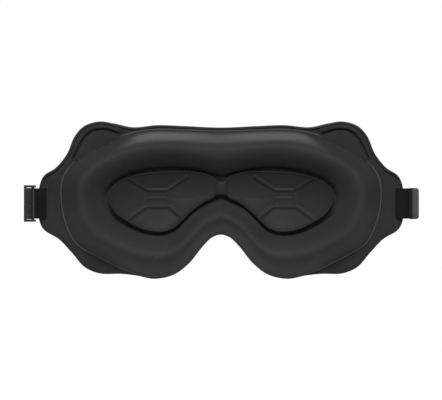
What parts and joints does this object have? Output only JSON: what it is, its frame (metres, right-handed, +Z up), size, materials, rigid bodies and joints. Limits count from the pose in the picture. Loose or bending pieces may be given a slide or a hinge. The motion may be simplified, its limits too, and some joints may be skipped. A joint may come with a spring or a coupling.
{
  "type": "sleep eye mask",
  "caption": "Black contoured sleep eye mask with a padded cushion ring, moulded eye cups and adjustable elastic straps.",
  "frame": {"origin": "on the midplane, at the height of the straps, where the mask's base plane crosses the bridge of the nose", "axes": "+Z up as worn, +X to the wearer's left, -Y out of the mask's front face, +Y to the wearer's face and the back of the head"},
  "size_m": [0.2581, 0.1985, 0.1036],
  "materials": {
    "outer_fabric": "smooth matte knit laminated to foam",
    "lining_fabric": "smooth matte knit",
    "foam": "soft open-cell memory foam, matte",
    "blackout_film": "matte film",
    "cushion_fabric": "soft brushed knit over memory foam",
    "cup_fabric": "smooth moulded fabric laminate",
    "webbing": "ribbed woven elastic",
    "thread": "matte sewing thread",
    "slider_plastic": "satin moulded plastic",
    "hook_tape": "woven hook tape",
    "loop_tape": "napped loop tape"
  },
  "bodies": {
    "mask": {"front_cover": "outer_fabric", "front_foam": "foam", "blackout_layer": "blackout_film", "back_lining": "lining_fabric", "rim_welt": "lining_fabric", "cushion_cover": "cushion_fabric", "cushion_core": "foam", "cup_bridge": "cup_fabric", "eye_cup_left": "cup_fabric", "eye_cup_right": "cup_fabric", "ear_pad_left": "lining_fabric", "ear_pad_right": "lining_fabric", "slot_trim_left": "thread", "slot_trim_right": "thread"},
    "left_strap": {"strap_left": "webbing", "strap_left_return": "webbing", "hook_patch": "hook_tape"},
    "right_strap": {"strap_right": "webbing", "bartack_right": "thread", "loop_patch": "loop_tape"},
    "strap_slider": {"slider": "slider_plastic", "bartack_left": "thread"}
  },
  "joints": [
    {"name": "left_strap_swing", "type": "hinge", "parent": "mask", "child": "left_strap", "pos_m": [0.1185, 0.01175, 0], "axis": [0, 0, -1], "range_deg": [-38, 130]},
    {"name": "right_strap_swing", "type": "hinge", "parent": "mask", "child": "right_strap", "pos_m": [-0.1185, 0.01175, 0], "axis": [0, 0, 1], "range_deg": [-38, 130]},
    {"name": "slider_slide", "type": "slide", "parent": "left_strap", "child": "strap_slider", "axis": [0, 1, 0], "range_m": [0, 0.06], "deforming": ["strap_left_return"]}
  ]
}
